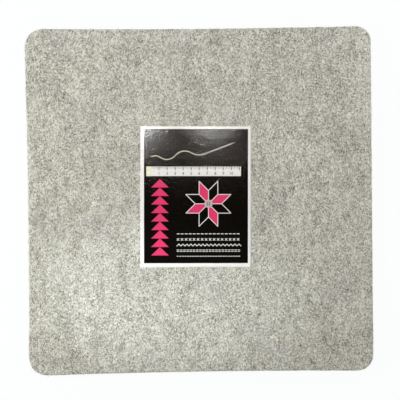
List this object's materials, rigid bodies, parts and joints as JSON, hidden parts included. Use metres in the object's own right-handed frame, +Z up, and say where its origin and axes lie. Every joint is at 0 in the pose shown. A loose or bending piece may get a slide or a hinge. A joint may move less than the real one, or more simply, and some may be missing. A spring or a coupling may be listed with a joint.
{
  "type": "wool pressing mat",
  "caption": "Square grey wool felt pressing mat with rounded corners and a peel-off glossy printed label on its upper face.",
  "frame": {"origin": "middle of the felt's underside, on the surface that the mat lies on", "axes": "+Z up out of the pressing face, +Y towards the label's top edge, +X to the right when the label is upright"},
  "size_m": [0.4318, 0.4318, 0.013],
  "materials": {
    "wool_felt": "matte",
    "label_adhesive": "satin",
    "label_paper": "matte",
    "label_ink": "satin",
    "label_film": "gloss"
  },
  "bodies": {
    "mat": {"felt_mat": "wool_felt"},
    "label": {"label_adhesive": "label_adhesive", "label_paper": "label_paper", "label_print": "label_ink", "label_film": "label_film"}
  },
  "joints": [
    {"name": "label_peel", "type": "hinge", "parent": "mat", "child": "label", "pos_m": [-0.00407, 0.09309, 0.01301], "axis": [-0.9999, 0.0117, 0], "range_deg": [0, 150]}
  ]
}
